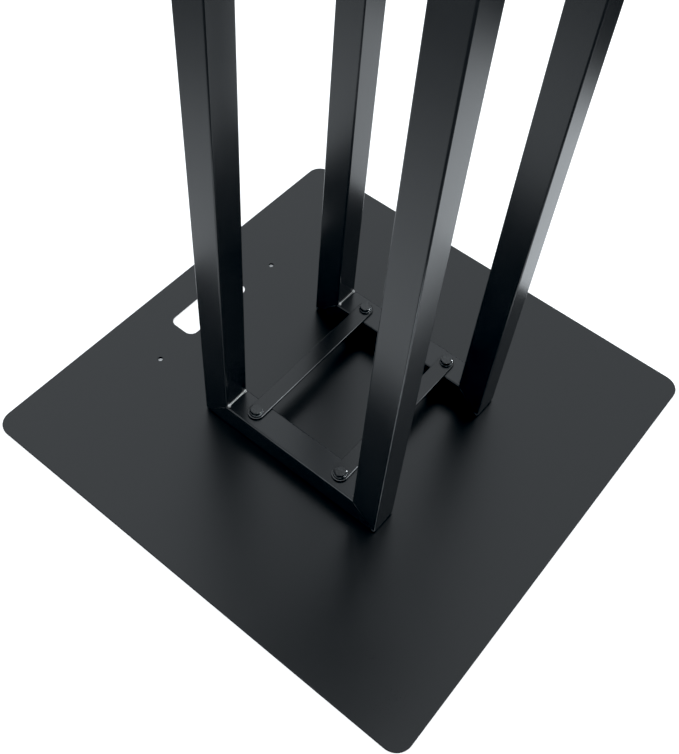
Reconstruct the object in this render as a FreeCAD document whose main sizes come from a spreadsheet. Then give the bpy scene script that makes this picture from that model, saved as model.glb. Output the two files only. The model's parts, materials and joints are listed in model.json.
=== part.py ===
import FreeCAD, Part
import math
import os

import Sketcher

# Light totem stand: a square floor plate, a tower of two welded square-tube frames
# that flat bars tie together, and a plate on top that carries a lamp.
# Millimetres, +Z up. The origin is on the floor under the middle of the base plate,
# +Y points to the plate's edge with the carry handle, and the two frames stand at -X and +X.
# A bolt at each end of each tie bar goes through bar and rail into a clinch nut in the plate,
# and the fasteners at the top are those of the foot turned upside down.

SIZES = [
    ("base_side", 600, "side of the square base plate"),
    ("base_thick", 3, "thickness of the base plate"),
    ("top_side", 300, "side of the square top plate"),
    ("top_thick", 3, "thickness of the top plate"),
    ("plate_corner", 20, "corner radius of both plates, seen from above"),
    ("plate_edge", 0.7, "rounding along the rims of both plates"),
    ("handle_long", 108, "length of the carry-handle slot"),
    ("handle_wide", 39, "width of the carry-handle slot"),
    ("handle_corner", 11, "corner radius of the carry-handle slot"),
    ("handle_rim", 43.5, "plate left between the slot and the rear edge"),
    ("accessory_hole", 6.5, "diameter of the two small holes beside the slot"),
    ("accessory_spread", 210, "distance between the two small holes"),
    ("accessory_rim", 78, "from the rear edge to the small holes' centres"),
    ("clamp_hole", 13, "diameter of the top plate's centre hole"),
    ("bracket_hole", 13, "diameter of the top plate's outer pair of holes"),
    ("bracket_spread", 120, "distance between the outer pair of holes"),
    ("tube_side", 35, "outside of the square tube"),
    ("tube_wall", 1.5, "wall of the square tube"),
    ("tube_corner", 2, "outer corner radius of the square tube"),
    ("tower_width", 242, "across the two frames, along X"),
    ("tower_depth", 258, "across each frame, along Y"),
    ("frame_height", 994, "height of each welded frame"),
    ("mitre_ground", 4, "how far each mitre's outer edge is ground back, along both tubes"),
    ("weld_leg", 2.5, "radius of the weld beads in the frames' inner corners"),
    ("bar_spread", 126, "distance between the front and rear tie bars"),
    ("bar_wide", 20, "width of a tie bar, with half-round ends"),
    ("bar_thick", 3, "thickness of a tie bar"),
    ("bar_edge", 0.8, "rounding of a tie bar's outer rim"),
    ("thread", 8, "outside of the bolts' thread"),
    ("bolt_room", 0.5, "room round the bolt in bars and rails, on the radius"),
    ("bolt_recess", 2.6, "how far the bolt's end stays inside the plate's outer face"),
    ("bolt_tip", 1, "chamfer at the bolt's end"),
    ("head_flats", 13, "across the flats of the bolt's head"),
    ("head_tall", 3.5, "height of the bolt's head"),
    ("crown_inset", 0.8, "how much narrower the head's flat crown is than its flats"),
    ("crown_drop", 0.8, "height of the head's crowning at its corners"),
    ("washer_wide", 16, "outside of the washers"),
    ("washer_thick", 1.6, "thickness of the washers"),
    ("washer_room", 0.2, "room round the bolt in the washers, on the radius"),
    ("collar_wall", 1.23, "wall of the clinch nut's collar inside the plate"),
    ("collar_recess", 0.8, "how far the collar stops inside the plate's outer face"),
    ("nut_wall", 2.33, "wall of the clinch nut above the plate"),
    ("nut_tall", 5.5, "height of the clinch nut above the plate"),
    ("nut_room", 0.65, "room round the clinch nut in the rail, on the radius"),
    ("press_room", 0.02, "room between nut and plate, and nut and thread, on the radius"),
]

doc = FreeCAD.newDocument("light_totem")
sheet = doc.addObject("Spreadsheet::Sheet", "Sizes")
for row, (alias, number, meaning) in enumerate(SIZES, start=1):
    sheet.set(f"A{row}", alias)
    sheet.set(f"B{row}", str(number))
    sheet.set(f"C{row}", meaning)
    sheet.setAlias(f"B{row}", alias)
doc.recompute()

# Places that several pieces share, as expressions on the sheet
RAIL_X = "(Sizes.tower_width - Sizes.tube_side) / 2"
UPRIGHT_Y = "(Sizes.tower_depth - Sizes.tube_side) / 2"
RAIL_SPREAD = "Sizes.tower_width - Sizes.tube_side"
FRAME_MIDDLE = "Sizes.base_thick + Sizes.frame_height / 2"
TOTAL_HEIGHT = "Sizes.base_thick + Sizes.frame_height + Sizes.top_thick"
BOLT_HOLE = "Sizes.thread + 2 * Sizes.bolt_room"
NUT_BORE = "Sizes.thread + 2 * Sizes.press_room"
NUT_COLLAR = f"{NUT_BORE} + 2 * Sizes.collar_wall"
NUT_BODY = f"{NUT_BORE} + 2 * Sizes.nut_wall"
WASHER_BORE = "Sizes.thread + 2 * Sizes.washer_room"
FULL_TURN = 360
HALF_TURN = 180
RIGHT_ANGLE = 90
QUARTER_TURN = math.radians(RIGHT_ANGLE)
HEXAGON_CORNERS = 6
UP = FreeCAD.Vector(0, 0, 1)
ABOUT_X = FreeCAD.Vector(1, 0, 0)
NEARLY = 1e-4


def number(expression):
    """The value of an expression on the sheet, in millimetres."""
    result = sheet.evalExpression(expression)
    return float(getattr(result, "Value", result))


def new_body(label):
    """An empty body that may hold several separate solids."""
    body = doc.addObject("PartDesign::Body", label)
    body.Label = label
    body.AllowCompound = True
    return body


def plane(body, role):
    """One of the body's own origin planes."""
    return next(item for item in body.Origin.OriginFeatures if item.Role == role)


def place(body, angle=0, **where):
    """Turn a body about X, then bind the given coordinates of its place to the sheet."""
    body.Placement = FreeCAD.Placement(FreeCAD.Vector(), FreeCAD.Rotation(ABOUT_X, angle))
    for axis, expression in where.items():
        body.setExpression("Placement.Base." + axis, expression)


def new_sketch(body, role, **offset):
    """A sketch on one of the body's planes, with its own origin shifted by expressions."""
    sketch = body.newObject("Sketcher::SketchObject", body.Label + "_sketch")
    sketch.AttachmentSupport = [(plane(body, role), "")]
    sketch.MapMode = "FlatFace"
    for axis, expression in offset.items():
        sketch.setExpression("AttachmentOffset.Base." + axis, expression)
    return sketch


def dimension(sketch, name, expression, kind, *where):
    """Add a dimension to a sketch and bind it to the sheet."""
    index = sketch.addConstraint(Sketcher.Constraint(kind, *where, number(expression)))
    sketch.renameConstraint(index, name)
    sketch.setExpression("Constraints." + name, expression)


def relate(sketch, kind, *where):
    """Add a geometric constraint to a sketch."""
    sketch.addConstraint(Sketcher.Constraint(kind, *where))


def polygon(sketch, points):
    """A closed chain of lines through the points, returned as the lines' indices."""
    corners = [FreeCAD.Vector(x, y, 0) for x, y in points]
    ends = corners[1:] + corners[:1]
    lines = [sketch.addGeometry(Part.LineSegment(a, b)) for a, b in zip(corners, ends)]
    for line, following in zip(lines, lines[1:] + lines[:1]):
        relate(sketch, "Coincident", line, 2, following, 1)
    return lines


def rectangle(sketch, wide, tall):
    """A rectangle centred on the sketch's origin."""
    x = number(wide) / 2
    y = number(tall) / 2
    south, east, north, west = polygon(sketch, [(-x, -y), (x, -y), (x, y), (-x, y)])
    relate(sketch, "Horizontal", south)
    relate(sketch, "Horizontal", north)
    relate(sketch, "Vertical", east)
    relate(sketch, "Vertical", west)
    relate(sketch, "Symmetric", south, 1, north, 1, -1, 1)
    dimension(sketch, "wide", wide, "DistanceX", south, 1, south, 2)
    dimension(sketch, "tall", tall, "DistanceY", east, 1, east, 2)


def circle(sketch, diameter, name="diameter"):
    """A circle round the sketch's origin."""
    ring = sketch.addGeometry(Part.Circle(FreeCAD.Vector(), UP, number(diameter) / 2))
    relate(sketch, "Coincident", ring, 3, -1, 1)
    dimension(sketch, name, diameter, "Diameter", ring)


def hole_pair(sketch, spread, diameter, upright=False):
    """Two equal circles either side of the sketch's origin, along its X or its Y axis."""
    reach = number(spread) / 2
    step = FreeCAD.Vector(0, reach, 0) if upright else FreeCAD.Vector(reach, 0, 0)
    first, second = [sketch.addGeometry(Part.Circle(at, UP, number(diameter) / 2)) for at in (-step, step)]
    relate(sketch, "Symmetric", first, 3, second, 3, -1, 1)
    relate(sketch, "PointOnObject", second, 3, -2 if upright else -1)
    relate(sketch, "Equal", first, second)
    dimension(sketch, "spread", spread, "DistanceY" if upright else "DistanceX", first, 3, second, 3)
    dimension(sketch, "hole", diameter, "Diameter", second)


def pad(body, sketch, length, symmetric=False):
    """Raise a sketch into a solid."""
    feature = body.newObject("PartDesign::Pad", body.Label + "_pad")
    feature.Profile = sketch
    feature.SideType = "Symmetric" if symmetric else "One side"
    feature.setExpression("Length", length)
    body.Tip = feature
    doc.recompute()
    return feature


def pocket(body, sketch, reverse=False, symmetric=False):
    """Cut a sketch right through, and make sure that it took material away."""
    before = body.Shape.Volume
    feature = body.newObject("PartDesign::Pocket", body.Label + "_pocket")
    feature.Profile = sketch
    feature.Type = "ThroughAll"
    feature.SideType = "Symmetric" if symmetric else "One side"
    feature.Reversed = reverse
    body.Tip = feature
    doc.recompute()
    if body.Shape.Volume > before - NEARLY:
        raise ValueError("a pocket of " + body.Label + " cuts nothing")
    return feature


def revolve(body, sketch, kind="Revolution"):
    """Turn a sketch about its own vertical axis, as a solid or as a groove."""
    feature = body.newObject("PartDesign::" + kind, body.Label + "_turned")
    feature.Profile = sketch
    feature.ReferenceAxis = (sketch, ["V_Axis"])
    feature.Angle = FULL_TURN
    body.Tip = feature
    doc.recompute()
    return feature


def fillet(body, base, radius, chosen):
    """Round those edges of a feature for which chosen(edge) is true."""
    names = [f"Edge{i}" for i, edge in enumerate(base.Shape.Edges, start=1) if chosen(edge)]
    feature = body.newObject("PartDesign::Fillet", body.Label + "_fillet")
    feature.Base = (base, names)
    feature.setExpression("Radius", radius)
    body.Tip = feature
    doc.recompute()
    return feature


def mirror_twice(body, *roles):
    """Repeat everything in the body across two of its planes, which makes four of it."""
    four = body.newObject("PartDesign::MultiTransform", body.Label + "_four")
    four.TransformMode = "Whole shape"
    mirrors = []
    for role in roles:
        mirror = body.newObject("PartDesign::Mirrored", body.Label + "_mirror")
        mirror.MirrorPlane = (plane(body, role), [""])
        mirrors.append(mirror)
    four.Transformations = mirrors
    body.Tip = four
    doc.recompute()


def along_z(edge):
    """True for a straight edge parallel to Z."""
    ends = [vertex.Point for vertex in edge.Vertexes]
    return len(ends) == 2 and abs(abs(ends[1].z - ends[0].z) - edge.Length) < NEARLY


def at_height(height):
    """A test for edges that lie flat at one height."""
    return lambda edge: all(abs(vertex.Z - height) < NEARLY for vertex in edge.Vertexes)


def rounded_plate(label, side, thick):
    """A square plate with round corners and softened rims, and a hole for each clinch nut."""
    body = new_body(label)
    outline = new_sketch(body, "XY_Plane")
    rectangle(outline, side, side)
    blank = pad(body, outline, thick)
    cornered = fillet(body, blank, "Sizes.plate_corner", along_z)
    lower = at_height(0)
    upper = at_height(number(thick))
    fillet(body, cornered, "Sizes.plate_edge", lambda edge: lower(edge) or upper(edge))
    for y in ("Sizes.bar_spread / 2", "-Sizes.bar_spread / 2"):
        holes = new_sketch(body, "XY_Plane", y=y)
        hole_pair(holes, RAIL_SPREAD, f"{NUT_COLLAR} + 2 * Sizes.press_room")
        pocket(body, holes, reverse=True)
    return body


def base_plate():
    """The floor plate, with its carry-handle slot and the small hole each side of it."""
    body = rounded_plate("base_plate", "Sizes.base_side", "Sizes.base_thick")
    slot = new_sketch(body, "XY_Plane", y="Sizes.base_side / 2 - Sizes.handle_rim - Sizes.handle_wide / 2")
    rectangle(slot, "Sizes.handle_long", "Sizes.handle_wide")
    cut = pocket(body, slot, reverse=True)
    reach = number("Sizes.handle_long") / 2

    def slot_corner(edge):
        return along_z(edge) and abs(abs(edge.Vertexes[0].X) - reach) < NEARLY

    fillet(body, cut, "Sizes.handle_corner", slot_corner)
    holes = new_sketch(body, "XY_Plane", y="Sizes.base_side / 2 - Sizes.accessory_rim")
    hole_pair(holes, "Sizes.accessory_spread", "Sizes.accessory_hole")
    pocket(body, holes, reverse=True)
    return body


def top_plate():
    """The plate that carries the lamp, with a centre hole and a pair of bracket holes."""
    body = rounded_plate("top_plate", "Sizes.top_side", "Sizes.top_thick")
    centre = new_sketch(body, "XY_Plane")
    circle(centre, "Sizes.clamp_hole")
    pocket(body, centre, reverse=True)
    pair = new_sketch(body, "XY_Plane")
    hole_pair(pair, "Sizes.bracket_spread", "Sizes.bracket_hole")
    pocket(body, pair, reverse=True)
    place(body, HALF_TURN, z=TOTAL_HEIGHT)
    return body


def mitred_tube(label, length):
    """A square tube along Z with both ends mitred, its longer side towards +Y.

    Each mitre's tip is ground off square to the mitre, half on this tube and half on its neighbour."""
    body = new_body(label)
    side = new_sketch(body, "YZ_Plane")
    half = number("Sizes.tube_side") / 2
    outer = number(length) / 2
    inner = outer - 2 * half
    ground = number("Sizes.mitre_ground")
    tip_y = half - ground / 2
    tip_z = outer - ground / 2
    points = [(half, ground - outer), (half, outer - ground), (tip_y, tip_z),
              (-half, inner), (-half, -inner), (tip_y, -tip_z)]
    lines = polygon(side, points)
    long_side = lines[0]
    upper_tip = lines[1]
    short_side = lines[3]
    lower_tip = lines[5]
    relate(side, "Symmetric", long_side, 1, long_side, 2, -1)
    relate(side, "Symmetric", short_side, 1, short_side, 2, -1)
    relate(side, "Symmetric", lower_tip, 1, upper_tip, 2, -1)
    dimension(side, "half", "Sizes.tube_side / 2", "DistanceX", -1, 1, long_side, 1)
    dimension(side, "deep", "Sizes.tube_side", "DistanceX", short_side, 1, long_side, 1)
    dimension(side, "long", length + " - 2 * Sizes.mitre_ground", "DistanceY", long_side, 1, long_side, 2)
    dimension(side, "short", length + " - 2 * Sizes.tube_side", "DistanceY", short_side, 2, short_side, 1)
    dimension(side, "tip", "Sizes.mitre_ground / 2", "DistanceX", upper_tip, 2, upper_tip, 1)
    dimension(side, "tips", length + " - Sizes.mitre_ground", "DistanceY", lower_tip, 1, upper_tip, 2)
    blank = pad(body, side, "Sizes.tube_side", symmetric=True)
    fillet(body, blank, "Sizes.tube_corner", along_z)
    inside = new_sketch(body, "XY_Plane")
    rectangle(inside, "Sizes.tube_side - 2 * Sizes.tube_wall", "Sizes.tube_side - 2 * Sizes.tube_wall")
    pocket(body, inside, symmetric=True)
    return body


def upright(label, x_side, y_side):
    """One upright of a side frame, its longer side outwards."""
    body = mitred_tube(label, "Sizes.frame_height")
    turn = 0 if y_side > 0 else HALF_TURN
    place(body, turn, x=f"{x_side} * {RAIL_X}", y=f"{y_side} * {UPRIGHT_Y}", z=FRAME_MIDDLE)
    return body


def rail(label, x_side, z_side):
    """A bottom or top rail of a side frame, with its bolt holes and room for the clinch nuts."""
    body = mitred_tube(label, "Sizes.tower_depth")
    nut_holes = new_sketch(body, "XZ_Plane")
    hole_pair(nut_holes, "Sizes.bar_spread", f"{NUT_BODY} + 2 * Sizes.nut_room", upright=True)
    pocket(body, nut_holes)
    bolt_holes = new_sketch(body, "XZ_Plane")
    hole_pair(bolt_holes, "Sizes.bar_spread", BOLT_HOLE, upright=True)
    pocket(body, bolt_holes, reverse=True)
    height = f"{FRAME_MIDDLE} + {z_side} * (Sizes.frame_height - Sizes.tube_side) / 2"
    place(body, RIGHT_ANGLE * z_side, x=f"{x_side} * {RAIL_X}", z=height)
    return body


def welds(label, x_side):
    """The quarter-round weld beads in the four inner corners of a side frame."""
    body = new_body(label)
    corner = new_sketch(
        body,
        "YZ_Plane",
        x="-(Sizes.tower_depth / 2 - Sizes.tube_side)",
        y="-(Sizes.frame_height / 2 - Sizes.tube_side)",
    )
    leg = number("Sizes.weld_leg")
    origin = FreeCAD.Vector()
    flat = corner.addGeometry(Part.LineSegment(origin, FreeCAD.Vector(leg, 0, 0)))
    face = Part.Circle(origin, UP, leg)
    bead = corner.addGeometry(Part.ArcOfCircle(face, 0, QUARTER_TURN))
    wall = corner.addGeometry(Part.LineSegment(FreeCAD.Vector(0, leg, 0), origin))
    relate(corner, "Coincident", flat, 1, -1, 1)
    relate(corner, "Coincident", flat, 2, bead, 1)
    relate(corner, "Coincident", bead, 2, wall, 1)
    relate(corner, "Coincident", wall, 2, flat, 1)
    relate(corner, "Coincident", bead, 3, -1, 1)
    relate(corner, "Horizontal", flat)
    relate(corner, "Vertical", wall)
    dimension(corner, "leg", "Sizes.weld_leg", "Radius", bead)
    pad(body, corner, "Sizes.tube_side - 2 * Sizes.tube_corner", symmetric=True)
    mirror_twice(body, "XZ_Plane", "XY_Plane")
    place(body, x=f"{x_side} * {RAIL_X}", z=FRAME_MIDDLE)
    return body


def tie_bar(label, y_side, plate, upside_down):
    """A flat bar with half-round ends that lies across the two rails."""
    body = new_body(label)
    outline = new_sketch(body, "XY_Plane")
    reach = number(RAIL_SPREAD) / 2
    radius = number("Sizes.bar_wide") / 2
    front = outline.addGeometry(
        Part.LineSegment(FreeCAD.Vector(-reach, -radius, 0), FreeCAD.Vector(reach, -radius, 0)))
    right_ring = Part.Circle(FreeCAD.Vector(reach, 0, 0), UP, radius)
    right_end = outline.addGeometry(Part.ArcOfCircle(right_ring, -QUARTER_TURN, QUARTER_TURN))
    back = outline.addGeometry(
        Part.LineSegment(FreeCAD.Vector(reach, radius, 0), FreeCAD.Vector(-reach, radius, 0)))
    left_ring = Part.Circle(FreeCAD.Vector(-reach, 0, 0), UP, radius)
    left_end = outline.addGeometry(Part.ArcOfCircle(left_ring, QUARTER_TURN, 3 * QUARTER_TURN))
    chain = [front, right_end, back, left_end]
    for piece, following in zip(chain, chain[1:] + chain[:1]):
        relate(outline, "Tangent", piece, 2, following, 1)
    relate(outline, "Symmetric", left_end, 3, right_end, 3, -1, 1)
    relate(outline, "PointOnObject", right_end, 3, -1)
    relate(outline, "Equal", left_end, right_end)
    dimension(outline, "reach", RAIL_SPREAD, "DistanceX", left_end, 3, right_end, 3)
    dimension(outline, "round", "Sizes.bar_wide / 2", "Radius", right_end)
    blank = pad(body, outline, "Sizes.bar_thick")
    fillet(body, blank, "Sizes.bar_edge", at_height(number("Sizes.bar_thick")))
    holes = new_sketch(body, "XY_Plane")
    hole_pair(holes, RAIL_SPREAD, BOLT_HOLE)
    pocket(body, holes, reverse=True)
    seat = f"{plate} + Sizes.tube_side"
    height = f"{TOTAL_HEIGHT} - ({seat})" if upside_down else seat
    place(body, HALF_TURN if upside_down else 0, y=f"{y_side} * Sizes.bar_spread / 2", z=height)
    return body


def bolt_sketch(body, role, height):
    """A sketch at one bolt's axis, at a height above the plate's outer face."""
    if role == "XY_Plane":
        return new_sketch(body, role, x=RAIL_X, y="Sizes.bar_spread / 2", z=height)
    return new_sketch(body, role, x=RAIL_X, y=height, z="-Sizes.bar_spread / 2")


def profile(sketch, points):
    """A closed outline through points given as pairs of expressions, "0" being on the axis itself."""
    lines = polygon(sketch, [(number(x), number(y)) for x, y in points])
    for line, (x, y) in zip(lines, points):
        if x == "0":
            relate(sketch, "PointOnObject", line, 1, -2)
        else:
            dimension(sketch, f"across_{line}", x, "DistanceX", -1, 1, line, 1)
        if y == "0":
            relate(sketch, "PointOnObject", line, 1, -1)
        else:
            dimension(sketch, f"up_{line}", y, "DistanceY", -1, 1, line, 1)


def hexagon(sketch, flats):
    """A regular hexagon round the sketch's origin, with two flats parallel to its X axis."""
    radius = number(flats) / math.sqrt(3)
    step = FULL_TURN / HEXAGON_CORNERS
    angles = [math.radians(step * (corner - 2)) for corner in range(HEXAGON_CORNERS)]
    lines = polygon(sketch, [(radius * math.cos(angle), radius * math.sin(angle)) for angle in angles])
    ring = sketch.addGeometry(Part.Circle(FreeCAD.Vector(), UP, radius), True)
    relate(sketch, "Coincident", ring, 3, -1, 1)
    for line in lines:
        relate(sketch, "PointOnObject", line, 1, ring)
    for line in lines[1:]:
        relate(sketch, "Equal", lines[0], line)
    relate(sketch, "Horizontal", lines[0])
    dimension(sketch, "flats", flats, "DistanceY", lines[0], 1, lines[3], 1)


def finish_four(body, upside_down):
    """Repeat a fastener at all four bolts, at the foot or upside down at the top."""
    mirror_twice(body, "YZ_Plane", "XZ_Plane")
    if upside_down:
        place(body, HALF_TURN, z=TOTAL_HEIGHT)
    return body


def nuts(label, plate, upside_down):
    """Clinch nuts: a collar pressed into the plate and a round body that stands inside the rail."""
    body = new_body(label)
    section = bolt_sketch(body, "XZ_Plane", "Sizes.collar_recess")
    bore = f"({NUT_BORE}) / 2"
    collar = f"({NUT_COLLAR}) / 2"
    outside = f"({NUT_BODY}) / 2"
    shoulder = f"{plate} - Sizes.collar_recess"
    top = f"{shoulder} + Sizes.nut_tall"
    collar_side = [(bore, "0"), (collar, "0"), (collar, shoulder)]
    body_side = [(outside, shoulder), (outside, top), (bore, top)]
    profile(section, collar_side + body_side)
    revolve(body, section)
    return finish_four(body, upside_down)


def washers(label, plate, upside_down):
    """Flat washers on the tie bars."""
    body = new_body(label)
    ring = bolt_sketch(body, "XY_Plane", f"{plate} + Sizes.tube_side + Sizes.bar_thick")
    circle(ring, "Sizes.washer_wide", "outside")
    circle(ring, WASHER_BORE, "bore")
    pad(body, ring, "Sizes.washer_thick")
    return finish_four(body, upside_down)


def bolts(label, plate, upside_down):
    """Hex bolts from the tie bar through the rail into the clinch nut."""
    body = new_body(label)
    seat = f"{plate} + Sizes.tube_side + Sizes.bar_thick + Sizes.washer_thick"
    shank = bolt_sketch(body, "XZ_Plane", "Sizes.bolt_recess")
    radius = "Sizes.thread / 2"
    long = f"{seat} - Sizes.bolt_recess"
    tip = f"{radius} - Sizes.bolt_tip"
    profile(shank, [("0", "0"), (tip, "0"), (radius, "Sizes.bolt_tip"), (radius, long), ("0", long)])
    revolve(body, shank)
    head = bolt_sketch(body, "XY_Plane", seat)
    hexagon(head, "Sizes.head_flats")
    pad(body, head, "Sizes.head_tall")
    crown = bolt_sketch(body, "XZ_Plane", seat)
    inner = "(Sizes.head_flats - Sizes.crown_inset) / 2"
    outer = "Sizes.head_flats"
    slope = f"Sizes.crown_drop / (Sizes.head_flats / sqrt(3) - {inner})"
    low = f"Sizes.head_tall - ({outer} - {inner}) * {slope}"
    profile(crown, [(inner, "Sizes.head_tall"), (outer, low), (outer, "Sizes.head_tall")])
    revolve(body, crown, "Groove")
    return finish_four(body, upside_down)


nodes = [base_plate(), top_plate()]
for side_name, x_side in (("left", -1), ("right", 1)):
    nodes.append(upright(side_name + "_front_upright", x_side, -1))
    nodes.append(upright(side_name + "_rear_upright", x_side, 1))
    nodes.append(rail(side_name + "_bottom_rail", x_side, -1))
    nodes.append(rail(side_name + "_top_rail", x_side, 1))
    nodes.append(welds(side_name + "_welds", x_side))
for level, plate, upside_down in (("bottom", "Sizes.base_thick", False), ("top", "Sizes.top_thick", True)):
    nodes.append(tie_bar(f"front_{level}_tie_bar", -1, plate, upside_down))
    nodes.append(tie_bar(f"rear_{level}_tie_bar", 1, plate, upside_down))
    nodes.append(nuts(f"{level}_nuts", plate, upside_down))
    nodes.append(washers(f"{level}_washers", plate, upside_down))
    nodes.append(bolts(f"{level}_bolts", plate, upside_down))
doc.recompute()

for item in doc.Objects:
    if "Invalid" in item.State or "Error" in item.State:
        raise ValueError(f"{item.Label} failed: {item.State}")
for node in nodes:
    if node.Shape.isNull() or not node.Shape.isValid() or not node.Shape.Solids:
        raise ValueError(f"{node.Label} has no valid solid")

os.makedirs("parts", exist_ok=True)
for node in nodes:
    node.Shape.exportStep(f"parts/{node.Label}.step")
    print(f"{node.Label}: {len(node.Shape.Solids)} solids, {node.Shape.Volume / 1000:.2f} cm3")
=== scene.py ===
import json
import math

import bpy
import numpy as np
from mathutils import Matrix, Vector

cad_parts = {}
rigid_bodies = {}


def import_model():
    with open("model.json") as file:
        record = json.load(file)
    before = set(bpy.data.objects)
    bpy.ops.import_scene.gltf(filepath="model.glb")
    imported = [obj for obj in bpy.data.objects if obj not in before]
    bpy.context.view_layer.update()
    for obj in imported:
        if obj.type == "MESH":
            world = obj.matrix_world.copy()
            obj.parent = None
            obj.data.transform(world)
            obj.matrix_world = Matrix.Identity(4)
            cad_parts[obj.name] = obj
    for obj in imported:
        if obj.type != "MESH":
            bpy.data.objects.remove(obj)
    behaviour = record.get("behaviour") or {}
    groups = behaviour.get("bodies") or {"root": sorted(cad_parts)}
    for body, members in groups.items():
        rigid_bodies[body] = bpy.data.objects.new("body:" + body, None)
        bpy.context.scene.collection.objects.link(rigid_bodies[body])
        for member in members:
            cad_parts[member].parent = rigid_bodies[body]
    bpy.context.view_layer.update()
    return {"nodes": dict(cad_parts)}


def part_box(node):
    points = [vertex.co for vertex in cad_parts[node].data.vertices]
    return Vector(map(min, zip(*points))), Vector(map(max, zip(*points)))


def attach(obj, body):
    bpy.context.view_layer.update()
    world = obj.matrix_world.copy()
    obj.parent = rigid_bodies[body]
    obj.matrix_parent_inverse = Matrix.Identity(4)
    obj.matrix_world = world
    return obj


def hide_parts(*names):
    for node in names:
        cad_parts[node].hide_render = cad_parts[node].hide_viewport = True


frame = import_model()

MILLIMETRE = 0.001

# The stand's own sizes, read from the frame, in metres
UPRIGHT_LOW, UPRIGHT_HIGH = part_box("right_rear_upright")
RAIL_LOW, RAIL_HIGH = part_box("right_bottom_rail")
BAR_LOW, BAR_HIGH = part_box("rear_bottom_tie_bar")
BOLT_LOW, BOLT_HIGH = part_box("bottom_bolts")
WASHER_LOW, WASHER_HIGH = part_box("bottom_washers")
PLATE_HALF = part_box("base_plate")[1].x
TUBE_SIDE = UPRIGHT_HIGH.x - UPRIGHT_LOW.x
TUBE_HALF = TUBE_SIDE / 2
RAIL_X = (UPRIGHT_HIGH.x + UPRIGHT_LOW.x) / 2
UPRIGHT_Y = (UPRIGHT_HIGH.y + UPRIGHT_LOW.y) / 2
FRAME_MIDDLE = (UPRIGHT_HIGH.z + UPRIGHT_LOW.z) / 2
RAIL_RISE = FRAME_MIDDLE - (RAIL_HIGH.z + RAIL_LOW.z) / 2
BAR_HALF = (BAR_HIGH.y - BAR_LOW.y) / 2
BAR_Y = (BAR_HIGH.y + BAR_LOW.y) / 2
SIDES = (("left", -1), ("right", 1))

# The depth ground off each mitre's outer edge, and an upright's ground edge from the frame's middle
MITRE_GROUND = 2 * (UPRIGHT_LOW.z - RAIL_LOW.z)
FOOT_EDGE = FRAME_MIDDLE - UPRIGHT_LOW.z - MITRE_GROUND / 2

# Weld beads, with swellings as shares of the leg, the lean of a ripple and the knobs of half the length
BEAD_LEG = 1.8 * MILLIMETRE
REAR_BEAD_LENGTH = 32 * MILLIMETRE
FRONT_BEAD_LENGTH = 26 * MILLIMETRE
BEAD_RIPPLES = 15
BEAD_BODY = 0.45
BEAD_SCALLOP = 0.5
BEAD_LEAN = 0.35
BEAD_KNOB = 0.95
KNOB_PLACE = 0.89
KNOB_SPREAD = 0.11
BEAD_BLUNTNESS = 24
BEAD_AROUND = 12
BEAD_ALONG = 240
END_SLIVER = 0.02

# Mitre seams, with their waves in radians from end to end and the grinding as a share of the swelling
TUBE_CORNER = 2 * MILLIMETRE
SEAM_WIDTH = 1.6 * MILLIMETRE
SEAM_RISE = 0.15 * MILLIMETRE
SEAM_BED = 0.1 * MILLIMETRE
SEAM_GROUND = 0.45
SEAM_WAVE = 0.25
SEAM_SHORT_WAVE = 21
SEAM_LONG_WAVE = 8.3
SEAM_BLUNTNESS = 12
SEAM_AROUND = 10
SEAM_ALONG = 60

# Bolts and washers, with each head's turn in radians by its side along X and Y
HEAD_FLATS = 13 * MILLIMETRE
HEAD_SIDES = 6
HEAD_TALL = BOLT_HIGH.z - WASHER_HIGH.z
HEAD_ROUNDING = 0.3 * MILLIMETRE
HEAD_TURNS = {(-1, -1): 0.12, (-1, 1): 0.40, (1, -1): 0.14, (1, 1): 0.38}
HEXAGON_SHARPNESS = 200
CROWN_RADIUS = 6.4 * MILLIMETRE
CROWN_SLOPE = 0.569
THREAD_RADIUS = 4 * MILLIMETRE
BOLT_TIP = 1 * MILLIMETRE
BOLT_Y = BOLT_HIGH.y - HEAD_FLATS / 2
WASHER_BORE = 4.2 * MILLIMETRE
WASHER_RADIUS = 8 * MILLIMETRE
WASHER_ROUNDING = 0.6 * MILLIMETRE
TURN_STEPS = 144
TURN_ANGLES = np.linspace(0, 2 * math.pi, TURN_STEPS, endpoint=False)
ROUNDING_STEPS = 6
FLAT_GUARD = 1.4

# Powder coat: cells of noise per metre, tints of a coat's own level, and added roughness
NOISE_SPAN = (0.3, 0.7)
CLOUD_CELLS = 14
GRAIN_CELLS = 1400
PEEL_CELLS = 420
COAT_DARK = (0.7, 0.75, 0.8)
COAT_LIGHT = (1.3, 1.4, 1.5)
CLOUD_ROUGHNESS = 0.02
GRAIN_ROUGHNESS = 0.04
GRAIN_HEIGHT = 0.4
COAT_BUMP = 0.012 * MILLIMETRE

# Painted highlights and light lines on the tubes, from where they start to where they are full or end, and
# shares
CORNER_HIGHLIGHT = (TUBE_HALF - 1.1 * MILLIMETRE, TUBE_HALF - 0.7 * MILLIMETRE)
FOOT_LINE = (FOOT_EDGE - 2.2 * MILLIMETRE, FOOT_EDGE - 0.8 * MILLIMETRE)
FOOT_SHARE = 0.5
HIGHLIGHT_HEIGHT = (0.40, 0.47)
REAR_SHARE = 0.14
RIGHT_SHARE = 0.15
PATCH_CELLS = 60
PATCH_SPAN = (0.3, 0.6)
TUBE_PATCHY = 0.5
TUBE_LIGHT_LINE = (0.13, 0.138, 0.143)
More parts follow.
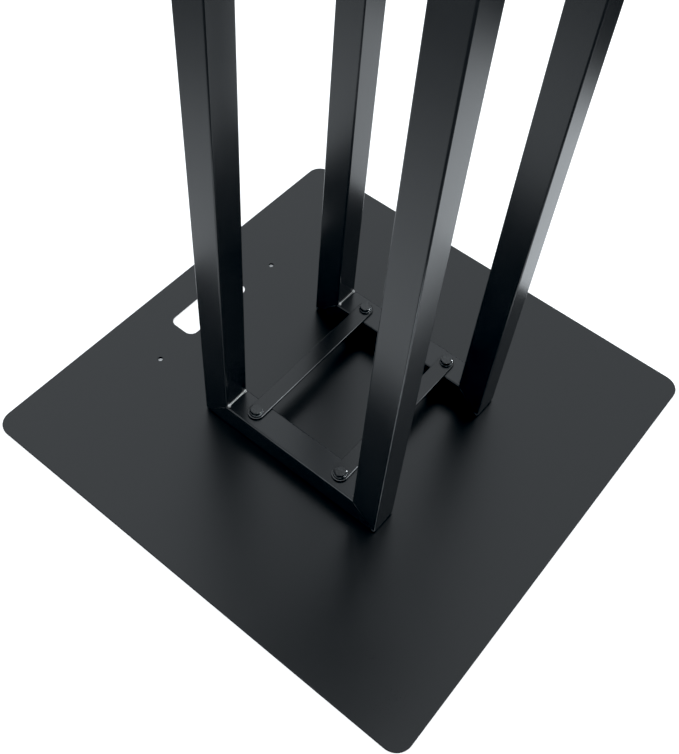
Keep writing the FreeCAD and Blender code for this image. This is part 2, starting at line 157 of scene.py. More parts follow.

# Painted highlight on the tie bars, by distance from the front edge, past the bolts, from the rim and along X
BAR_EDGE = 0.8 * MILLIMETRE
BAR_FRONT = (0.3 * BAR_HALF, 0.7 * BAR_HALF)
BAR_STRAIGHT = (0, 0.25 * BAR_HALF)
BAR_END = (0.1 * BAR_HALF, 0.4 * BAR_HALF)
BAR_END_SHARE = 0.2
RIM_START = (0.05 * BAR_EDGE, 0.2 * BAR_EDGE)
RIM_END = (0.8 * BAR_EDGE, 1.1 * BAR_EDGE)
BAR_LEFT = (-0.8 * RAIL_X, 0.15 * RAIL_X)
BAR_RIGHT_PLACE = 0.5 * RAIL_X
BAR_RIGHT = (0.05 * RAIL_X, 0.5 * RAIL_X)
BAR_RIGHT_SHARE = 0.4
BAR_PATCHY = 0.6
BAR_HIGHLIGHT = (0.60, 0.61, 0.62)

# Thin paint over the mitre seams, with a highlight painted on it towards the inner end
SEAM_CELLS = 220
SEAM_SPAN = (0.35, 0.6)
SEAM_LEAST_GREY = 0.4
SEAM_INNER = (UPRIGHT_Y - TUBE_HALF, UPRIGHT_Y + TUBE_HALF / 4)
SEAM_OUTER_SHARE = 0.05
SEAM_BLACK = (0.0035, 0.0038, 0.004)
SEAM_GREY = (0.04, 0.042, 0.043)
SEAM_ROUGHNESS = (0.3, 0.45)
SEAM_BUMP = 0.02 * MILLIMETRE

# Black oxide, with tints of its own level
OXIDE_CELLS = 550
OXIDE_SPAN = (0.42, 0.6)
OXIDE_DARK = (0.1, 0.11, 0.12)
OXIDE_LIGHT = (2.3, 2.5, 2.6)
OXIDE_ROUGHNESS = (0.16, 0.28)
OXIDE_BUMP = 0.03 * MILLIMETRE

# Weld metal, with its knobs by distance from the middle of a bead, painted brighter as highlights
WELD_CELLS = 1500
WELD_SPAN = (0.4, 0.6)
WELD_KNOB = (0.3 * TUBE_SIDE, 0.4 * TUBE_SIDE)
WELD_KNOB_SHARE = 0.6
# The beads of the right frame are painted duller as shade, but for their knobs
WELD_RIGHT_SHARE = 0.3
WELD_DULL = (0.10, 0.10, 0.098)
WELD_BRIGHT = (0.60, 0.60, 0.59)
WELD_ROUGHNESS = (0.35, 0.6)
WELD_BUMP = 0.03 * MILLIMETRE
WELD_METALLIC = 0.6

# Zinc plating
ZINC_CELLS = 900
ZINC_DULL = (0.50, 0.51, 0.52)
ZINC_BRIGHT = (0.66, 0.67, 0.67)
ZINC_ROUGHNESS = (0.25, 0.4)
ZINC_BUMP = 0.02 * MILLIMETRE

# Camera, with distances in metres and the focal length in pixels of the picture
PICTURE_TALL = 754
FOCAL_PIXELS = 995.6
SENSOR = 36.0
CAMERA_EYE = Vector((-0.5775, -0.3686, 1.0158))
CAMERA_TARGET = Vector((0.02165, 0.03612, 0.003))
CAMERA_ROLL = math.radians(5.95)
BLACK_POINT = (0.0066, 0.0059, 0.0053)

# Floor, in metres and in units of the white floor's brightness
FLOOR_HALF = 6.0
FLOOR_WHITE = (0.95, 0.95, 0.95)
FLOOR_ROUGHNESS = 0.9
FLOOR_SHINE = 0.1
FLOOR_GLOW = 0.55
UNDER_PLATE = (-40 * MILLIMETRE, -30 * MILLIMETRE)
SLOT_ASIDE = (60 * MILLIMETRE, 80 * MILLIMETRE)

# Light pool that the paint mirrors, in the same units
POOL_DEPTH = 1 * MILLIMETRE
POOL_CENTRE = (0.05, -0.03, 0.0)
POOL_REACH = (0.53, 1.15)
POOL_LEVELS = (1.5, 0.35)
POOL_ASIDE = (-0.4, 0.4)
POOL_LEFT_LEVEL = 0.72
POOL_RIGHT_END = (0.625, 0.84)
POOL_SLOT_LEVEL = 0.5
DIM_SIDE = (-0.5, -0.866, 0.0)
DIM_REACH = (0.24, 0.5)
DIM_LEVEL = 0.1
CONTACT_SHADOW = (2 * MILLIMETRE, 8 * MILLIMETRE)

# Studio light, by the parts of the direction towards it
COOL_WHITE = (0.94, 1.0, 1.05)
WALL_RISE = np.sin(np.radians((20, 40)))
WALL_FOOT = 0.15
LEFT_WALL = (-0.7, -0.3)
LEFT_WALL_LEVEL = 0.45
CEILING_RISE = np.sin(np.radians((58, 80)))
CEILING_LEVEL = 0.95
WALL_ASIDE = (-0.6, 0.05)
WALL_LEVELS = (1.22, 1.43)
GAP_LEFT = (-0.4, -0.1)
GAP_RISE = np.sin(np.radians((38, 50)))
GAP_DARKNESS = 0.85
BACKDROP = 1.1

# Soft boxes for the glints on fasteners and beads
GLINT_ENDINGS = ("_bolts_detailed", "_washers_detailed", "_weld_beads")
GLINT_PLACES = {"front_glint": (0.72, -1.12, 1.66), "side_glint": (1.72, -0.68, 0.84)}
GLINT_SIDE = 0.25
GLINT_WATTS = 36


def noise(tree, point, cells, detail=2.0, roughness=0.5):
    """A noise pattern with that many cells per metre."""
    texture = tree.nodes.new("ShaderNodeTexNoise")
    texture.inputs["Scale"].default_value = cells
    texture.inputs["Detail"].default_value = detail
    texture.inputs["Roughness"].default_value = roughness
    tree.links.new(point, texture.inputs["Vector"])
    return texture.outputs["Fac"]


def remap(tree, value, source, result, smooth=False):
    """Carry a value from a source range to a result range, kept inside the second."""
    node = tree.nodes.new("ShaderNodeMapRange")
    node.interpolation_type = "SMOOTHSTEP" if smooth else "LINEAR"
    for socket, number in zip(node.inputs[1:5], (*source, *result)):
        socket.default_value = number
    tree.links.new(value, node.inputs["Value"])
    return node.outputs["Result"]


def calculate(tree, operation, *values):
    """One step of arithmetic on one or two values, each a pattern or a number."""
    node = tree.nodes.new("ShaderNodeMath")
    node.operation = operation
    for socket, value in zip(node.inputs, values):
        if isinstance(value, (int, float)):
            socket.default_value = value
        else:
            tree.links.new(value, socket)
    return node.outputs["Value"]


def product(tree, first, *others):
    """Several values multiplied."""
    for other in others:
        first = calculate(tree, "MULTIPLY", first, other)
    return first


def away(tree, value, place):
    """How far a value is from a place."""
    return calculate(tree, "ABSOLUTE", calculate(tree, "SUBTRACT", value, place))


def away_from_pair(tree, value, place):
    """How far a value is from the nearer of a place and its mirror image."""
    return away(tree, calculate(tree, "ABSOLUTE", value), place)


def axes(tree, vector):
    """The X, Y and Z of a vector."""
    split = tree.nodes.new("ShaderNodeSeparateXYZ")
    tree.links.new(vector, split.inputs["Vector"])
    return split.outputs["X"], split.outputs["Y"], split.outputs["Z"]


def measure(tree, operation, vector, fixed):
    """One number from a vector and a fixed one, such as their distance."""
    node = tree.nodes.new("ShaderNodeVectorMath")
    node.operation = operation
    node.inputs[1].default_value = fixed
    tree.links.new(vector, node.inputs[0])
    return node.outputs["Value"]


def blend_colours(tree, share, first, second):
    """A colour between two others, by a share from 0 to 1."""
    node = tree.nodes.new("ShaderNodeMix")
    node.data_type = "RGBA"
    tree.links.new(share, node.inputs["Factor"])
    for socket, colour in ((node.inputs[6], first), (node.inputs[7], second)):
        if isinstance(colour, tuple):
            socket.default_value = (*colour, 1.0)
        else:
            tree.links.new(colour, socket)
    return node.outputs[2]


def tinted(tint, level):
    """A colour of a given level with a tint."""
    return tuple(level * part for part in tint)


def new_finish(name):
    """A new material, its node tree and the place of a point on its surface, in the stand's frame."""
    material = bpy.data.materials.new(name)
    material.use_nodes = True
    tree = material.node_tree
    return material, tree, tree.nodes.new("ShaderNodeTexCoord").outputs["Object"]


def set_finish(tree, colour, roughness, height, depth, metallic=0.0):
    """Link a finish's colour, roughness and bump, which is as deep as given in metres, to its shader."""
    bump = tree.nodes.new("ShaderNodeBump")
    bump.inputs["Strength"].default_value = 1.0
    bump.inputs["Distance"].default_value = depth
    tree.links.new(height, bump.inputs["Height"])
    shader = tree.nodes["Principled BSDF"]
    shader.inputs["Metallic"].default_value = metallic
    tree.links.new(colour, shader.inputs["Base Color"])
    tree.links.new(roughness, shader.inputs["Roughness"])
    tree.links.new(bump.outputs["Normal"], shader.inputs["Normal"])


def patchy(tree, point, least):
    """Patches that break up the painted light lines, from a least share up to 1."""
    return remap(tree, noise(tree, point, PATCH_CELLS, detail=3), PATCH_SPAN, (least, 1))


def corner_highlight(tree, point, across):
    """Painted highlight on a tube's round corners, from 0 on the flats to 1 in mid-corner at the front left.

    A point's distance from the tube's axis is taken along X and, as given, along the other axis across the
    tube. The smaller of them stays below the start of the corner on a flat, and is largest in mid-corner."""
    x, y = axes(tree, point)[:2]
    smaller = calculate(tree, "MINIMUM", away_from_pair(tree, x, RAIL_X), across)
    ridge = remap(tree, smaller, CORNER_HIGHLIGHT, (0, 1), smooth=True)
    # The highlight is painted strongest at the front left and weaker towards the rear and the right
    front = remap(tree, y, (UPRIGHT_Y, -UPRIGHT_Y), (REAR_SHARE, 1))
    left = remap(tree, x, (0, -RAIL_X), (RIGHT_SHARE, 1))
    return product(tree, ridge, front, left)


def upright_light_lines(tree, point):
    """Painted light lines on an upright: highlights on its corners in the lower half and the edges of its
    ends.
    """
    y, z = axes(tree, point)[1:]
    corner = corner_highlight(tree, point, away_from_pair(tree, y, UPRIGHT_Y))
    corner = product(tree, corner, remap(tree, z, HIGHLIGHT_HEIGHT, (1, 0), smooth=True))
    foot = remap(tree, away(tree, z, FRAME_MIDDLE), FOOT_LINE, (0, FOOT_SHARE), smooth=True)
    return product(tree, calculate(tree, "MAXIMUM", corner, foot), patchy(tree, point, TUBE_PATCHY))


def rail_highlight(tree, point):
    """The painted highlight on a rail, along its corners."""
    from_middle = calculate(tree, "SUBTRACT", axes(tree, point)[2], FRAME_MIDDLE)
    corner = corner_highlight(tree, point, away_from_pair(tree, from_middle, RAIL_RISE))
    return product(tree, corner, patchy(tree, point, TUBE_PATCHY))


def bar_highlight(tree, point):
    """The painted highlight on a tie bar: a light line along its rounded front edge, most on the left.

    The distance from the rim is the bar's half width less the distance from the line between the two bolts.
    The highlight is painted only in the middle of the rim's round, and weaker round the bar's ends."""
    x, y = axes(tree, point)[:2]
    past_bolt = calculate(tree, "SUBTRACT", calculate(tree, "ABSOLUTE", x), RAIL_X)
    past_bolt = calculate(tree, "MAXIMUM", past_bolt, 0.0)
    aside = away_from_pair(tree, y, BAR_Y)
    squares = calculate(tree, "ADD", product(tree, past_bolt, past_bolt), product(tree, aside, aside))
    from_rim = away(tree, calculate(tree, "SQRT", squares), BAR_HALF)
    rim = product(tree, remap(tree, from_rim, RIM_START, (0, 1)), remap(tree, from_rim, RIM_END, (1, 0)))
    from_front = away_from_pair(tree, calculate(tree, "ADD", y, BAR_HALF), BAR_Y)
    front = remap(tree, from_front, BAR_FRONT, (1, 0), smooth=True)
    front = product(tree, front, remap(tree, past_bolt, BAR_STRAIGHT, (1, BAR_END_SHARE)))
    end = remap(tree, past_bolt, BAR_END, (0, BAR_END_SHARE))
    # The painted highlight is strongest at the left and comes back weaker on the right half
    left = remap(tree, x, BAR_LEFT, (1, 0))
    right = remap(tree, away(tree, x, BAR_RIGHT_PLACE), BAR_RIGHT, (BAR_RIGHT_SHARE, 0))
    stretch = calculate(tree, "MAXIMUM", left, right)
    side = calculate(tree, "MAXIMUM", front, end)
    return product(tree, rim, stretch, side, patchy(tree, point, BAR_PATCHY))


def powder_coat(name, level, roughness, painted_lines=None, line_colour=None):
    """Black satin powder coat: a fine grain, faint clouds in its gloss and any painted light lines on its
    edges.
    """
    material, tree, point = new_finish(name)
    clouds = noise(tree, point, CLOUD_CELLS, detail=3)
    grain = noise(tree, point, GRAIN_CELLS)
    peel = noise(tree, point, PEEL_CELLS)
    colour = blend_colours(tree, clouds, tinted(COAT_DARK, level), tinted(COAT_LIGHT, level))
    # The lighter lines, where given, are painted highlights
    if painted_lines is not None:
        colour = blend_colours(tree, painted_lines(tree, point), colour, line_colour)
    cloudy = remap(tree, clouds, NOISE_SPAN, (roughness, roughness + CLOUD_ROUGHNESS))
    grainy = remap(tree, grain, NOISE_SPAN, (0, GRAIN_ROUGHNESS))
    height = calculate(tree, "ADD", product(tree, grain, GRAIN_HEIGHT), peel)
    set_finish(tree, colour, calculate(tree, "ADD", cloudy, grainy), height, COAT_BUMP)
    return material


def seam_coat():
    """The same paint thin over a ground weld, patchy grey, with a highlight painted at the inner end."""
    material, tree, point = new_finish("powder_coat_seam")
    patches = remap(tree, noise(tree, point, SEAM_CELLS, detail=3), SEAM_SPAN, (SEAM_LEAST_GREY, 1))
    from_middle = calculate(tree, "ABSOLUTE", axes(tree, point)[1])
    # The grey is painted strongest at the inner end as the ridge's highlight
    inner = remap(tree, from_middle, SEAM_INNER, (1, SEAM_OUTER_SHARE), smooth=True)
    paler = product(tree, patches, inner)
    colour = blend_colours(tree, paler, SEAM_BLACK, SEAM_GREY)
    set_finish(tree, colour, remap(tree, paler, (0, 1), SEAM_ROUGHNESS), paler, SEAM_BUMP)
    return material


def black_oxide(name, level):
    """Black oxide on steel: finely mottled, and paler where it is thin."""
    material, tree, point = new_finish(name)
    mottle = noise(tree, point, OXIDE_CELLS, detail=4, roughness=0.65)
    paler = remap(tree, mottle, OXIDE_SPAN, (0, 1))
    colour = blend_colours(tree, paler, tinted(OXIDE_DARK, level), tinted(OXIDE_LIGHT, level))
    set_finish(tree, colour, remap(tree, mottle, NOISE_SPAN, OXIDE_ROUGHNESS), mottle, OXIDE_BUMP)
    return material


def weld_metal():
    """Bright weld metal with a fine scale, painted duller on the right as shade but for its bright-painted
    knobs.
    """
    material, tree, point = new_finish("weld_metal")
    x = axes(tree, point)[0]
    scale = noise(tree, point, WELD_CELLS, detail=3)
    # The knobs are painted brighter as highlights, and the beads painted duller towards the right as shade
    knob = remap(tree, away_from_pair(tree, x, RAIL_X), WELD_KNOB, (0, WELD_KNOB_SHARE), smooth=True)
    left = remap(tree, x, (-RAIL_X, RAIL_X), (1, WELD_RIGHT_SHARE))
    clean_and_lit = product(tree, left, remap(tree, scale, WELD_SPAN, (0, 1)))
    colour = blend_colours(tree, calculate(tree, "MAXIMUM", knob, clean_and_lit), WELD_DULL, WELD_BRIGHT)
    roughness = remap(tree, scale, NOISE_SPAN, WELD_ROUGHNESS)
    set_finish(tree, colour, roughness, scale, WELD_BUMP, metallic=WELD_METALLIC)
    return material


def zinc_plate():
    """Zinc-plated clinch nuts, with the plating's faint streaks."""
    material, tree, point = new_finish("zinc_plate")
    streaks = noise(tree, point, ZINC_CELLS, detail=3)
    colour = blend_colours(tree, streaks, ZINC_DULL, ZINC_BRIGHT)
    roughness = remap(tree, streaks, NOISE_SPAN, ZINC_ROUGHNESS)
    set_finish(tree, colour, roughness, streaks, ZINC_BUMP, metallic=1.0)
    return material


def dress(node, material):
    """Give a CAD node its material."""
    target = frame["nodes"][node]
    target.data.materials.clear()
    target.data.materials.append(material)


def new_piece(name, copies, material):
    """A new smooth piece riding on the stand, made of copies of surfaces.

    Each copy has its points, its groups of faces and whether it is mirrored, which turns its faces round."""
    all_faces = []
    count = 0
    for points, groups, mirrored in copies:
        for group in groups:
            outward = group[:, ::-1] if mirrored else group
            all_faces.extend((outward + count).tolist())
        count += len(points)
    mesh = bpy.data.meshes.new(name)
    mesh.from_pydata(np.concatenate([copy[0] for copy in copies]).tolist(), [], all_faces)
    mesh.polygons.foreach_set("use_smooth", np.full(len(mesh.polygons), True))
    mesh.materials.append(material)
    mesh.validate()
    mesh.update()
    piece = bpy.data.objects.new(name, mesh)
    bpy.context.scene.collection.objects.link(piece)
    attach(piece, "root")
    return piece


def ring_faces(rows, columns, closed=False):
    """Faces of a tube of rings: quads between neighbouring rings, with capped ends or closed into a ring."""
    row, column = np.meshgrid(np.arange(rows if closed else rows - 1), np.arange(columns), indexing="ij")
    ahead = (column + 1) % columns
    below = (row + 1) % rows
    quads = np.stack([row * columns + column, row * columns + ahead,
                      below * columns + ahead, below * columns + column], axis=-1).reshape(-1, 4)
    if closed:
        return [quads]
    first = np.arange(columns)[None, ::-1]
    last = (rows - 1) * columns + np.arange(columns)[None, :]
    return [quads, first, last]


def blunt_ends(place, bluntness):
    """A swelling that is 1 in the middle of a run and falls to a sliver at its ends, at -1 and 1.

    It is the square root of 1 less a high power of the place, so the ends are blunt and round."""
    return np.maximum(np.sqrt(np.clip(1 - np.abs(place) ** bluntness, 0.0, 1.0)), END_SLIVER)


def bead(length):
    """One weld bead in its own frame: along X, with its corner at the origin and its face towards +Y +Z.

    The outline is a quarter disc. Its radius swells and shrinks along the bead by a sum of overlapping
    scallops, one for each pause of the torch, and a round knob ends the bead on both sides. The scallops
    lean, because each one cools from its edge, so their phase also turns round the face."""
    along = np.linspace(-1, 1, BEAD_ALONG)[:, None]
    angle = np.linspace(0, math.pi / 2, BEAD_AROUND)[None, :]
    lean = BEAD_LEAN * np.sin(angle * 2)
    scallop = np.abs(np.sin(math.pi * (BEAD_RIPPLES * (along + 1) / 2 + lean)))
    knob = np.exp(-((np.abs(along) - KNOB_PLACE) / KNOB_SPREAD) ** 2)
    swell = BEAD_BODY + BEAD_SCALLOP * scallop + BEAD_KNOB * knob
    radius = BEAD_LEG * swell * blunt_ends(along, BEAD_BLUNTNESS)
    x = np.broadcast_to(along * length / 2, radius.shape)
    face = np.stack([x, radius * np.cos(angle), radius * np.sin(angle)], axis=-1)
    corner = np.stack([along[:, 0] * length / 2, np.zeros(BEAD_ALONG), np.zeros(BEAD_ALONG)], axis=-1)
    rings = np.concatenate([face, corner[:, None, :]], axis=1)
    return rings.reshape(-1, 3), ring_faces(BEAD_ALONG, BEAD_AROUND + 1)


def weld_beads(side, x_side):
    """The four beads of one frame, in its inner corners, each turned into its own corner."""
    inner_y = UPRIGHT_Y - TUBE_HALF
    inner_z = RAIL_RISE - TUBE_HALF
    copies = []
    for y_side, length in ((-1, FRONT_BEAD_LENGTH), (1, REAR_BEAD_LENGTH)):
        points, faces = bead(length)
        for z_side in (-1, 1):
            placed = points * (1, -y_side, -z_side)
            placed = placed + (x_side * RAIL_X, y_side * inner_y, FRAME_MIDDLE + z_side * inner_z)
            copies.append((placed, faces, y_side * z_side < 0))
    piece = new_piece(f"{side}_weld_beads", copies, WELD_METAL)
    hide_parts(f"{side}_welds")


def seam():
    """One mitre seam in its own frame: along X, flat on the XY plane and rising towards +Z.

    Across, the outline is a low arch over a flat bed a little below the tube's face. The weld was ground
    off, so the arch is lowest at the outer end and waves a little on the way."""
    along = np.linspace(0, 1, SEAM_ALONG)[:, None]
    angle = np.linspace(0, math.pi, SEAM_AROUND)[None, :]
    start = TUBE_CORNER * math.sqrt(2)
    length = (TUBE_SIDE - 2 * TUBE_CORNER) * math.sqrt(2)
    wave = 1 + SEAM_WAVE * np.sin(along * SEAM_SHORT_WAVE) * np.sin(along * SEAM_LONG_WAVE)
    swell = (1 - SEAM_GROUND * along) * wave * blunt_ends(2 * along - 1, SEAM_BLUNTNESS)
    across = np.cos(angle) * SEAM_WIDTH / 2 * swell
    height = np.sin(angle) * (SEAM_RISE + SEAM_BED) * swell - SEAM_BED
    x = np.broadcast_to(start + along * length, across.shape)
    rings = np.stack([x, across, height], axis=-1)
    return rings.reshape(-1, 3), ring_faces(SEAM_ALONG, SEAM_AROUND)


def mitre_seams(side, x_side):
    """The seams of one frame's mitres, from each inner corner outwards, on both faces of the frame."""
    points, faces = seam()
    diagonal = math.sqrt(0.5)
    copies = []
    for face_side in (-1, 1):
        for y_side in (-1, 1):
            for z_side in (-1, 1):
                x = x_side * RAIL_X + face_side * (TUBE_HALF + points[:, 2])
                y = y_side * (UPRIGHT_Y - TUBE_HALF + diagonal * (points[:, 0] - points[:, 1]))
                z = z_side * (RAIL_RISE - TUBE_HALF + diagonal * (points[:, 0] + points[:, 1])) + FRAME_MIDDLE
                copies.append((np.stack([x, y, z], axis=-1), faces, face_side * y_side * z_side < 0))
    new_piece(f"{side}_mitre_seams", copies, SEAM_COAT)


def corner_ring(radius, height):
    """One corner of a turned outline, as rows of (radius, height) for every angle of the turn."""
    return np.stack(np.broadcast_arrays(radius, height, TURN_ANGLES), axis=-1)[:, :2]


def rounded_outline(corners, reaches):
    """Rows of (radius, height) along an outline through corners, with every inner corner rounded.

    A corner gives way to a quadratic curve that starts and ends at the corner's own reach from it. One more
    row a little further out on both sides keeps the flats flat."""
    rows = [corners[0]]
    share = np.linspace(0, 1, ROUNDING_STEPS)[:, None, None]
    for before, corner, after, reach in zip(corners, corners[1:], corners[2:], reaches):
        back = reach * (before - corner) / np.linalg.norm(before - corner, axis=-1, keepdims=True)
        ahead = reach * (after - corner) / np.linalg.norm(after - corner, axis=-1, keepdims=True)
        rows.append(corner + FLAT_GUARD * back)
        rows.extend(corner + (1 - share) ** 2 * back + share ** 2 * ahead)
        rows.append(corner + FLAT_GUARD * ahead)
    rows.append(corners[-1])
    return np.stack(rows)


def turned(outline):
    """The surface that an outline, which may differ from angle to angle, sweeps round the Z axis."""
    radius = outline[..., 0]
    height = outline[..., 1]
    points = np.stack([radius * np.cos(TURN_ANGLES), radius * np.sin(TURN_ANGLES), height], axis=-1)
    return points.reshape(-1, 3)


def bolt():
    """A hex bolt with its head's underside at the origin, pointing down.

    Going round, the head's radius is that of a hexagon with slightly round edges: half the width across its
    flats, divided by the root of the sum of a high power of the cosines to the six flats. A shallow cone
    takes the corners off the crown."""
    flats = math.pi / 2 + np.arange(HEAD_SIDES)[:, None] * 2 * math.pi / HEAD_SIDES
    towards = np.clip(np.cos(TURN_ANGLES - flats), 0, None)
    hexagon = HEAD_FLATS / 2 / np.sum(towards ** HEXAGON_SHARPNESS, axis=0) ** (1 / HEXAGON_SHARPNESS)
    shoulder = HEAD_TALL - (hexagon - CROWN_RADIUS) * CROWN_SLOPE
    tip = BOLT_LOW.z - WASHER_HIGH.z
    corners = [corner_ring(CROWN_RADIUS / 2, HEAD_TALL), corner_ring(CROWN_RADIUS, HEAD_TALL),
               corner_ring(hexagon, shoulder), corner_ring(hexagon, 0.0),
               corner_ring(THREAD_RADIUS, 0.0), corner_ring(THREAD_RADIUS, tip + BOLT_TIP),
               corner_ring(THREAD_RADIUS - BOLT_TIP, tip), corner_ring(THREAD_RADIUS / 2, tip)]
    small = HEAD_ROUNDING / 2
    outline = rounded_outline(corners, [small, small, HEAD_ROUNDING, small, small, small])
    return turned(outline), [group[:, ::-1] for group in ring_faces(len(outline), TURN_STEPS)]


def washer():
    """A flat washer on the origin, with its upper rim rolled by the punch."""
    tall = WASHER_HIGH.z - WASHER_LOW.z
    middle = (WASHER_BORE + WASHER_RADIUS) / 2
    corners = [corner_ring(middle, 0.0), corner_ring(WASHER_RADIUS, 0.0), corner_ring(WASHER_RADIUS, tall),
               corner_ring(WASHER_BORE, tall), corner_ring(WASHER_BORE, 0.0), corner_ring(middle, 0.0)]
    small = WASHER_ROUNDING / 3
    outline = rounded_outline(corners, [small, WASHER_ROUNDING, small, small])[:-1]
    return turned(outline), ring_faces(len(outline), TURN_STEPS, closed=True)


def fasteners(level, z_side, kind, surface, seat, steel):
    """The four fasteners of one kind at the foot or, upside down, at the top, each with its own turn."""
    points, faces = surface
    copies = []
    for (x_side, y_side), turn in HEAD_TURNS.items():
        x = points[:, 0] * math.cos(turn) - points[:, 1] * math.sin(turn) + x_side * RAIL_X
        y = points[:, 0] * math.sin(turn) + points[:, 1] * math.cos(turn) + y_side * BOLT_Y
        z = FRAME_MIDDLE - z_side * (FRAME_MIDDLE - seat - points[:, 2])
        copies.append((np.stack([x, y, z], axis=-1), faces, z_side < 0))
    piece = new_piece(f"{level}_{kind}_detailed", copies, steel)
    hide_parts(f"{level}_{kind}")


# Materials, one for each finish, and the nodes that they go to by the ending of the name
PLATE_COAT = powder_coat("powder_coat_plate", level=0.003, roughness=0.27)
BAR_COAT = powder_coat("powder_coat_bar", level=0.003, roughness=0.18, painted_lines=bar_highlight, line_colour=BAR_HIGHLIGHT)
# The uprights and rails get a lighter copy of the same black coat, a painted lift of their shaded sides
UPRIGHT_COAT = powder_coat("powder_coat_upright", level=0.011, roughness=0.20, painted_lines=upright_light_lines,
                           line_colour=TUBE_LIGHT_LINE)
RAIL_COAT = powder_coat("powder_coat_rail", level=0.010, roughness=0.20, painted_lines=rail_highlight, line_colour=TUBE_LIGHT_LINE)
SEAM_COAT = seam_coat()
BOLT_STEEL = black_oxide("black_oxide_bolt", level=0.006)
WASHER_STEEL = black_oxide("black_oxide_washer", level=0.03)
WELD_METAL = weld_metal()
ZINC = zinc_plate()
FINISHES = {"plate": PLATE_COAT, "bar": BAR_COAT, "upright": UPRIGHT_COAT, "rail": RAIL_COAT,
            "welds": WELD_METAL, "bolts": BOLT_STEEL, "washers": WASHER_STEEL, "nuts": ZINC}

for node in frame["nodes"]:
    dress(node, FINISHES[node.split("_")[-1]])

for side, x_side in SIDES:
    weld_beads(side, x_side)
for side, x_side in SIDES:
    mitre_seams(side, x_side)
for level, z_side in (("bottom", 1), ("top", -1)):
    fasteners(level, z_side, "bolts", bolt(), WASHER_HIGH.z, BOLT_STEEL)
    fasteners(level, z_side, "washers", washer(), WASHER_LOW.z, WASHER_STEEL)


def stage_plane(name, height, material):
    """A square stage plane round the origin."""
    half = FLOOR_HALF
    corners = [(-half, -half, height), (half, -half, height), (half, half, height), (-half, half, height)]
    mesh = bpy.data.meshes.new(name)
    mesh.from_pydata(corners, [], [(0, 1, 2, 3)])
    mesh.materials.append(material)
    plane = bpy.data.objects.new(name, mesh)
    bpy.context.scene.collection.objects.link(plane)
    return plane


def plate_distances(tree, point):
    """A stage point's distance from the YZ plane, and how far it is outside the base plate's rim."""
    x, y = axes(tree, point)[:2]
    aside = calculate(tree, "ABSOLUTE", x)
    outside = calculate(tree, "MAXIMUM", aside, calculate(tree, "ABSOLUTE", y))
    return aside, calculate(tree, "SUBTRACT", outside, PLATE_HALF)


def floor():
    """A plain white floor, bright enough to stay white round the stand and under the carry slot.

    Under the rest of the plate it has no glow of its own, so the small holes show a shaded floor."""
    material, tree, point = new_finish("floor_paper")
    aside, from_rim = plate_distances(tree, point)
    open_floor = remap(tree, from_rim, UNDER_PLATE, (0, FLOOR_GLOW))
    under_slot = remap(tree, aside, SLOT_ASIDE, (FLOOR_GLOW, 0))
    shader = tree.nodes["Principled BSDF"]
    shader.inputs["Base Color"].default_value = (*FLOOR_WHITE, 1.0)
    shader.inputs["Roughness"].default_value = FLOOR_ROUGHNESS
    shader.inputs["Specular IOR Level"].default_value = FLOOR_SHINE
    shader.inputs["Emission Color"].default_value = (1.0, 1.0, 1.0, 1.0)
    tree.links.new(calculate(tree, "MAXIMUM", open_floor, under_slot), shader.inputs["Emission Strength"])
    stage_plane("floor", 0.0, material).visible_glossy = False


def light_pool():
    """What the paint mirrors of the floor: a pool of light round the foot that fades with distance.

    It is brighter to the right, but dim far out there and to the front left, and the plate's own contact
    shadow is dark in it."""
    material, tree, point = new_finish("light_pool")
    x = axes(tree, point)[0]
    aside, from_rim = plate_distances(tree, point)
    near = remap(tree, measure(tree, "DISTANCE", point, POOL_CENTRE), POOL_REACH, POOL_LEVELS, smooth=True)
    to_right = remap(tree, x, POOL_ASIDE, (POOL_LEFT_LEVEL, 1))
    far_right = remap(tree, x, POOL_RIGHT_END, (1, DIM_LEVEL), smooth=True)
    front_left = measure(tree, "DOT_PRODUCT", point, DIM_SIDE)
    front_left = remap(tree, front_left, DIM_REACH, (1, DIM_LEVEL), smooth=True)
    under_slot = remap(tree, from_rim, UNDER_PLATE, (POOL_SLOT_LEVEL, 0))
    under_slot = product(tree, under_slot, remap(tree, aside, SLOT_ASIDE, (1, 0)))
    open_floor = remap(tree, from_rim, CONTACT_SHADOW, (0, 1), smooth=True)
    open_floor = calculate(tree, "MAXIMUM", under_slot, open_floor)
    glow = tree.nodes.new("ShaderNodeEmission")
    glow.inputs["Color"].default_value = (*COOL_WHITE, 1.0)
    level = product(tree, near, to_right, front_left, open_floor, far_right)
    tree.links.new(level, glow.inputs["Strength"])
    tree.nodes.remove(tree.nodes["Principled BSDF"])
    tree.links.new(glow.outputs["Emission"], tree.nodes["Material Output"].inputs["Surface"])
    pool = stage_plane("light_pool", -POOL_DEPTH, material)
    pool.visible_camera = False
    pool.visible_diffuse = False
    pool.visible_shadow = False


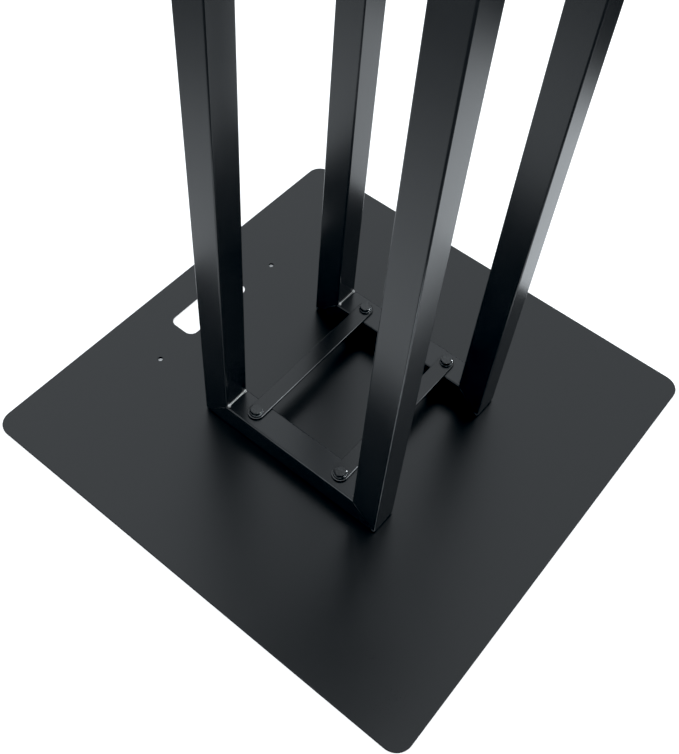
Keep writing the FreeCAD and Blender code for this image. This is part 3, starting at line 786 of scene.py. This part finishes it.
def studio():
    """Soft light from half-way up the walls and from the ceiling, a little stronger from the rear left.

    The walls are dark near the floor. The left one is paler there and has a dark gap high up. All of this
    counts only as light: the camera itself sees a plain pale background."""
    world = bpy.data.worlds.new("studio")
    bpy.context.scene.world = world
    world.use_nodes = True
    tree = world.node_tree
    x, y, z = axes(tree, tree.nodes.new("ShaderNodeTexCoord").outputs["Generated"])
    walls = remap(tree, z, WALL_RISE, (WALL_FOOT, 1), smooth=True)
    left_wall = remap(tree, x, LEFT_WALL, (LEFT_WALL_LEVEL, 0), smooth=True)
    walls = calculate(tree, "MAXIMUM", walls, left_wall)
    ceiling = remap(tree, z, CEILING_RISE, (1, CEILING_LEVEL), smooth=True)
    level = remap(tree, calculate(tree, "SUBTRACT", y, x), WALL_ASIDE, WALL_LEVELS)
    to_left = remap(tree, x, GAP_LEFT, (GAP_DARKNESS, 0), smooth=True)
    gap = product(tree, to_left, remap(tree, z, GAP_RISE, (0, 1), smooth=True))
    level = product(tree, level, calculate(tree, "SUBTRACT", 1.0, gap), walls, ceiling)
    seen = product(tree, tree.nodes.new("ShaderNodeLightPath").outputs["Is Camera Ray"], BACKDROP)
    background = tree.nodes["Background"]
    background.inputs["Color"].default_value = (*COOL_WHITE, 1.0)
    tree.links.new(calculate(tree, "MAXIMUM", level, seen), background.inputs["Strength"])


def soft_box(name, place):
    """A square soft box that faces the origin and lights only the fasteners and the weld beads."""
    lamp = bpy.data.lights.new(name, "AREA")
    lamp.shape = "SQUARE"
    lamp.size = GLINT_SIDE
    lamp.energy = GLINT_WATTS
    lamp.color = COOL_WHITE
    box = bpy.data.objects.new(name, lamp)
    bpy.context.scene.collection.objects.link(box)
    place = Vector(place)
    box.matrix_world = Matrix.Translation(place) @ (-place).to_track_quat("-Z", "Y").to_matrix().to_4x4()
    lit = bpy.data.collections.new("lit_by_" + name)
    for piece in bpy.context.scene.objects:
        if piece.name.endswith(GLINT_ENDINGS):
            lit.objects.link(piece)
    box.light_linking.receiver_collection = lit


def camera():
    """The photograph's viewpoint: the eye, the point it looks at and a small roll.

    The sensor's width spans the taller side of the picture."""
    data = bpy.data.cameras.new("camera")
    data.sensor_fit = "AUTO"
    data.sensor_width = SENSOR
    data.lens = FOCAL_PIXELS * SENSOR / PICTURE_TALL
    eye = bpy.data.objects.new("camera", data)
    bpy.context.scene.collection.objects.link(eye)
    forward = (CAMERA_TARGET - CAMERA_EYE).normalized()
    level = forward.to_track_quat("-Z", "Y").to_matrix().to_4x4()
    eye.matrix_world = Matrix.Translation(CAMERA_EYE) @ level @ Matrix.Rotation(CAMERA_ROLL, 4, "Z")
    bpy.context.scene.camera = eye


def picture_levels():
    """Plain display colours with a raised black point, as in the photograph."""
    settings = bpy.context.scene.view_settings
    settings.view_transform = "Standard"
    settings.use_curve_mapping = True
    settings.curve_mapping.black_level = BLACK_POINT
    settings.curve_mapping.update()


floor()
light_pool()
studio()
for name, place in GLINT_PLACES.items():
    soft_box(name, place)
camera()
picture_levels()
